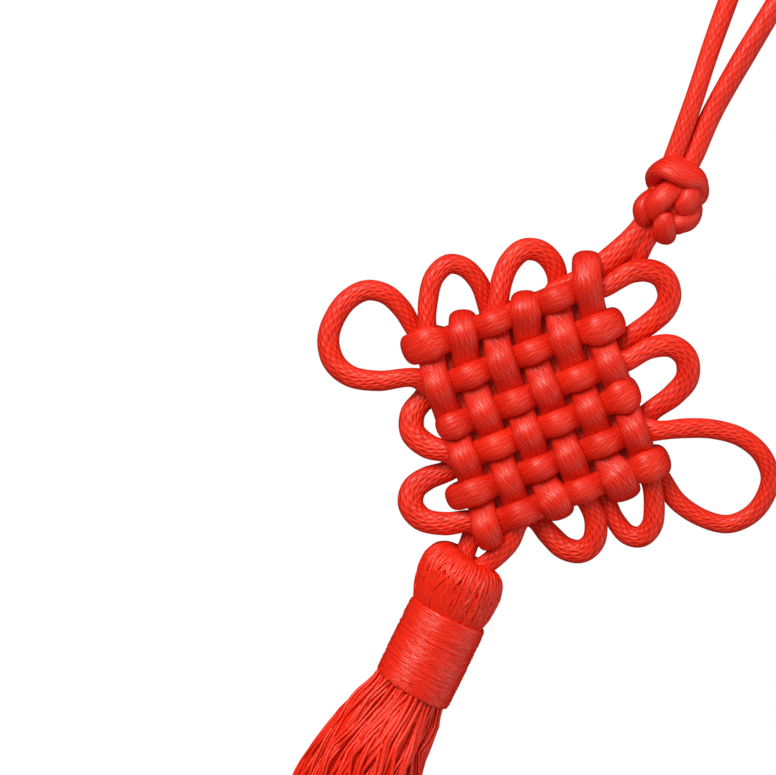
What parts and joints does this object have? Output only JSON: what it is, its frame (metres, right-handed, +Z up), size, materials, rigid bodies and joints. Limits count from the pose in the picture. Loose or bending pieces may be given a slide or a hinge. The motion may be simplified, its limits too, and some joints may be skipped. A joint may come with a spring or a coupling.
{
  "type": "knotted cord pendant with silk tassel",
  "caption": "Red satin cord tied into a flat woven knot with side loops and a button knot, hanging by its cord loop and carrying a bound yarn tassel.",
  "frame": {"origin": "inside top of the hanging loop, where a hook or peg carries it", "axes": "+Z up along the hanging pendant, +Y from the face in the picture to the back, +X to the right of that face"},
  "size_m": [0.0607, 0.0164, 0.1979],
  "materials": {
    "hanging_cord": "satin braided cord, loosely pulled so the braid shows",
    "knot_cord": "satin braided cord, pulled tight and glossy over the bumps",
    "tassel_yarn": "glossy artificial silk yarn",
    "binding_thread": "fine shiny thread wound in close turns"
  },
  "bodies": {
    "root": {"hanging_loop": "hanging_cord", "button_knot": "knot_cord", "woven_knot": "knot_cord", "tassel_yarn": "tassel_yarn", "tassel_binding": "binding_thread"}
  },
  "joints": []
}
